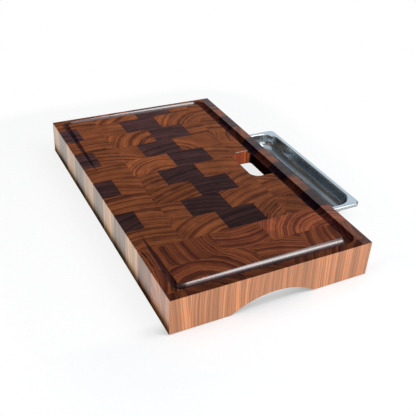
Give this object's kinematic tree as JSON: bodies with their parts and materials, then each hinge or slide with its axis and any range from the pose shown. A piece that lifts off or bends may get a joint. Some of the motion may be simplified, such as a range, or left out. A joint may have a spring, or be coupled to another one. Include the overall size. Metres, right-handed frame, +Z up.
{
  "type": "butcher block cutting board with waste pan",
  "caption": "End-grain wooden cutting board with a juice groove, a waste slot through its top and a pressed steel pan that slides out of a pocket under its side.",
  "frame": {"origin": "on the surface that the board stands on, under the middle of the box that holds the board and the pan as it is drawn out at rest", "axes": "+X across the board, the way the pan slides out; +Y along the board, away from the front end; +Z up"},
  "size_m": [0.377, 0.5, 0.055],
  "materials": {
    "brown_walnut": "oiled",
    "ruddy_walnut": "oiled",
    "dark_walnut": "oiled",
    "front_walnut": "oiled",
    "runner_wood": "oiled",
    "pan_steel": "polished",
    "screw_steel": "satin"
  },
  "bodies": {
    "board": {"far_runner": "runner_wood", "front_runner": "runner_wood", "runner_screws": "screw_steel", "strip_01_front_edge": "front_walnut", "strip_02_block_a": "front_walnut", "strip_02_block_b": "front_walnut", "strip_02_block_c": "front_walnut", "strip_02_block_d": "front_walnut", "strip_03_block_a": "front_walnut", "strip_03_block_b": "front_walnut", "strip_03_block_c": "front_walnut", "strip_03_block_d": "front_walnut", "strip_04_dark_edge": "dark_walnut", "strip_04_dark_heart": "dark_walnut", "strip_04_pale_edge": "brown_walnut", "strip_04_pale_pair": "brown_walnut", "strip_04_ruddy": "ruddy_walnut", "strip_05_dark_edge": "dark_walnut", "strip_05_dark_heart": "dark_walnut", "strip_05_pale_edge": "brown_walnut", "strip_05_pale_pair": "brown_walnut", "strip_05_ruddy": "ruddy_walnut", "strip_06_dark_edge": "dark_walnut", "strip_06_dark_heart": "dark_walnut", "strip_06_pale_edge": "brown_walnut", "strip_06_pale_pair": "brown_walnut", "strip_06_ruddy": "ruddy_walnut", "strip_07_dark_edge": "dark_walnut", "strip_07_dark_heart": "dark_walnut", "strip_07_pale_edge": "brown_walnut", "strip_07_pale_pair": "brown_walnut", "strip_07_ruddy": "ruddy_walnut", "strip_08_dark_edge": "dark_walnut", "strip_08_dark_heart": "dark_walnut", "strip_08_pale_edge": "brown_walnut", "strip_08_pale_pair": "brown_walnut", "strip_08_ruddy": "ruddy_walnut", "strip_09_dark_edge": "dark_walnut", "strip_09_dark_heart": "dark_walnut", "strip_09_pale_edge": "brown_walnut", "strip_09_pale_pair": "brown_walnut", "strip_09_ruddy": "ruddy_walnut", "strip_10_dark_edge": "dark_walnut", "strip_10_dark_heart": "dark_walnut", "strip_10_pale_edge": "brown_walnut", "strip_10_pale_pair": "brown_walnut", "strip_10_ruddy": "ruddy_walnut", "strip_11_dark_edge": "dark_walnut", "strip_11_dark_heart": "dark_walnut", "strip_11_pale_edge": "brown_walnut", "strip_11_pale_pair": "brown_walnut", "strip_11_ruddy": "ruddy_walnut", "strip_12_dark_edge": "dark_walnut", "strip_12_dark_heart": "dark_walnut", "strip_12_pale_edge": "brown_walnut", "strip_12_pale_pair": "brown_walnut", "strip_12_ruddy": "ruddy_walnut"},
    "pan": {"waste_pan": "pan_steel"}
  },
  "joints": [
    {"name": "pan_slide", "type": "slide", "parent": "board", "child": "pan", "axis": [1, 0, 0], "range_m": [-0.0792, 0.014]}
  ]
}
